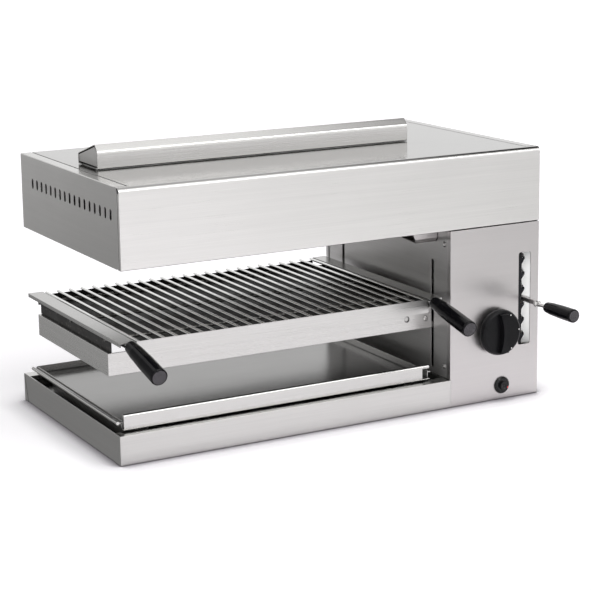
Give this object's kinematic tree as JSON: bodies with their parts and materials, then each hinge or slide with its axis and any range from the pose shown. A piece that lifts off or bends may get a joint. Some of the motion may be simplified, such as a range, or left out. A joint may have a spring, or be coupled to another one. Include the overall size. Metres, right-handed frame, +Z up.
{
  "type": "salamander grill",
  "caption": "Countertop gas salamander: overhead burner hood on a side column, lever-lifted pull-out grid, drip tray, gas knob and igniter.",
  "frame": {"origin": "centre of the footprint of the hood and column on the counter, on the underside of the base", "axes": "+X to the right along the width, +Y to the rear, +Z up"},
  "size_m": [0.7606, 0.5642, 0.4582],
  "materials": {
    "brushed_stainless": "brushed stainless sheet",
    "plain_steel": "plain steel",
    "black_steel": "blackened steel",
    "chromed_steel": "bright chromed steel",
    "ceramic": "unglazed ceramic plaque",
    "white_ceramic": "insulated ignition lead and ceramic pin",
    "brass": "turned brass",
    "bronze": "sintered bronze",
    "copper_like": "copper sensor tube",
    "aluminium_tube": "drawn aluminium tube",
    "black_phenolic": "moulded black phenolic, satin",
    "black_plastic": "moulded black plastic",
    "grey_cap": "dark grey speckled end cap",
    "white_mark": "white index mark",
    "red_mark": "red spark mark"
  },
  "bodies": {
    "body": {"base_pan": "brushed_stainless", "base_deck": "brushed_stainless", "tray_runners": "brushed_stainless", "column_front_panel": "brushed_stainless", "column_side_panel": "brushed_stainless", "column_inner_wall": "brushed_stainless", "column_floor": "brushed_stainless", "column_rear_cover": "brushed_stainless", "hood_shell": "brushed_stainless", "hood_side_left": "brushed_stainless", "hood_side_right": "brushed_stainless", "hood_rear_panel": "brushed_stainless", "flue_collar": "black_steel", "flue_cap": "brushed_stainless", "flue_end_plates": "brushed_stainless", "heat_shield": "plain_steel", "burner_rails": "plain_steel", "burner_boxes": "plain_steel", "burner_tiles": "ceramic", "burner_guards": "brushed_stainless", "ignition_shield": "brushed_stainless", "gas_manifold": "aluminium_tube", "gas_injectors": "brass", "gas_inlet_fitting": "brass", "gas_inlet_pipe": "aluminium_tube", "gas_tap_body": "brass", "igniter_bezel": "black_plastic", "igniter_mark": "red_mark", "igniter_body": "black_plastic", "thermocouple": "copper_like", "spark_electrode": "white_ceramic", "height_rack": "black_steel", "gate_guide": "brushed_stainless", "guide_rods": "plain_steel", "rod_brackets": "plain_steel", "wall_screws": "chromed_steel", "rear_screws": "chromed_steel"},
    "carriage": {"carrier_frame": "brushed_stainless", "carrier_screw": "chromed_steel", "grid_rails": "brushed_stainless", "lift_plate": "plain_steel", "lift_bushes": "bronze"},
    "lever": {"lever_bar": "brushed_stainless", "lever_rod": "chromed_steel", "lever_bolt": "chromed_steel", "lever_grip": "black_phenolic", "lever_grip_cap": "grey_cap"},
    "grid": {"grid_side_bars": "brushed_stainless", "grid_pan": "brushed_stainless", "grid_rods": "chromed_steel", "grid_cross_rods": "chromed_steel", "handle_rods": "chromed_steel", "handle_grips": "black_phenolic", "handle_caps": "grey_cap"},
    "tray": {"drip_tray": "brushed_stainless"},
    "tap_plug": {"gas_tap_plug": "brass"},
    "knob": {"gas_tap_spindle": "plain_steel", "control_knob": "black_phenolic", "knob_marks": "white_mark"},
    "button": {"igniter_button": "black_plastic"}
  },
  "joints": [
    {"name": "carriage_lift", "type": "slide", "parent": "body", "child": "carriage", "axis": [0, 0, 1], "range_m": [-0.052, 0.078]},
    {"name": "lever_swing", "type": "hinge", "parent": "carriage", "child": "lever", "pos_m": [0.3524, -0.125, 0.163], "axis": [0, 0, 1], "range_deg": [-3.6, 1]},
    {"name": "grid_pull", "type": "slide", "parent": "carriage", "child": "grid", "axis": [0, -1, 0], "range_m": [0, 0.25]},
    {"name": "tray_pull", "type": "slide", "parent": "body", "child": "tray", "axis": [0, -1, 0], "range_m": [0, 0.3]},
    {"name": "tap_turn", "type": "hinge", "parent": "body", "child": "tap_plug", "pos_m": [0.29, -0.175, 0.1185], "axis": [0, -1, 0], "range_deg": [0, 210]},
    {"name": "knob_push", "type": "slide", "parent": "tap_plug", "child": "knob", "axis": [0, 1, 0], "range_m": [0, 0.004], "stiffness_N_per_m": 1500, "springref_m": -0.002},
    {"name": "igniter_push", "type": "slide", "parent": "body", "child": "button", "axis": [0, 1, 0], "range_m": [0, 0.004], "stiffness_N_per_m": 1500, "springref_m": -0.002}
  ]
}
